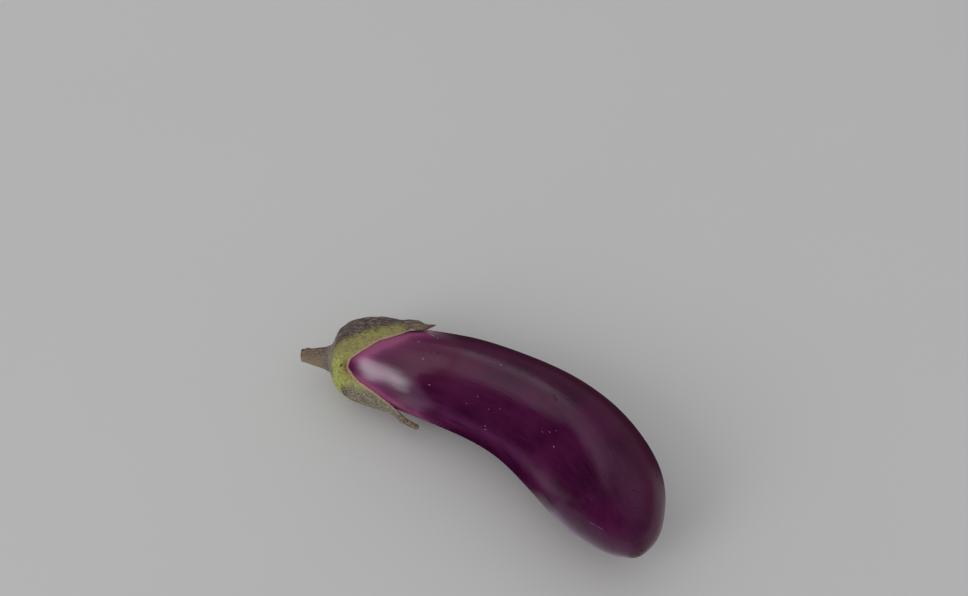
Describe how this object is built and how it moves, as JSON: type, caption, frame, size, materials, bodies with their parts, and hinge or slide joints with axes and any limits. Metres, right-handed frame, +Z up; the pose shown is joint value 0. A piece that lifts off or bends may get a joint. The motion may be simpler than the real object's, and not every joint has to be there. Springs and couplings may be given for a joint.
{
  "type": "eggplant",
  "caption": "Slender curved eggplant lying on its side, with a lobed green-brown calyx over the neck and a short cut stem.",
  "frame": {"origin": "on the table, under the middle of the bounding box of the whole eggplant", "axes": "+Z up from the table; +X along the straight line from the stem end to the blossom end; the fruit bulges sideways towards +Y"},
  "size_m": [0.173, 0.0604, 0.0489],
  "materials": {
    "fruit_skin": "smooth glossy dark purple skin, paler magenta next to the calyx",
    "calyx": "matt, wrinkled and leathery, green with purple-brown patches",
    "stem": "matt, ribbed, taupe brown"
  },
  "bodies": {
    "root": {"fruit": "fruit_skin", "calyx": "calyx", "stem": "stem"}
  },
  "joints": []
}
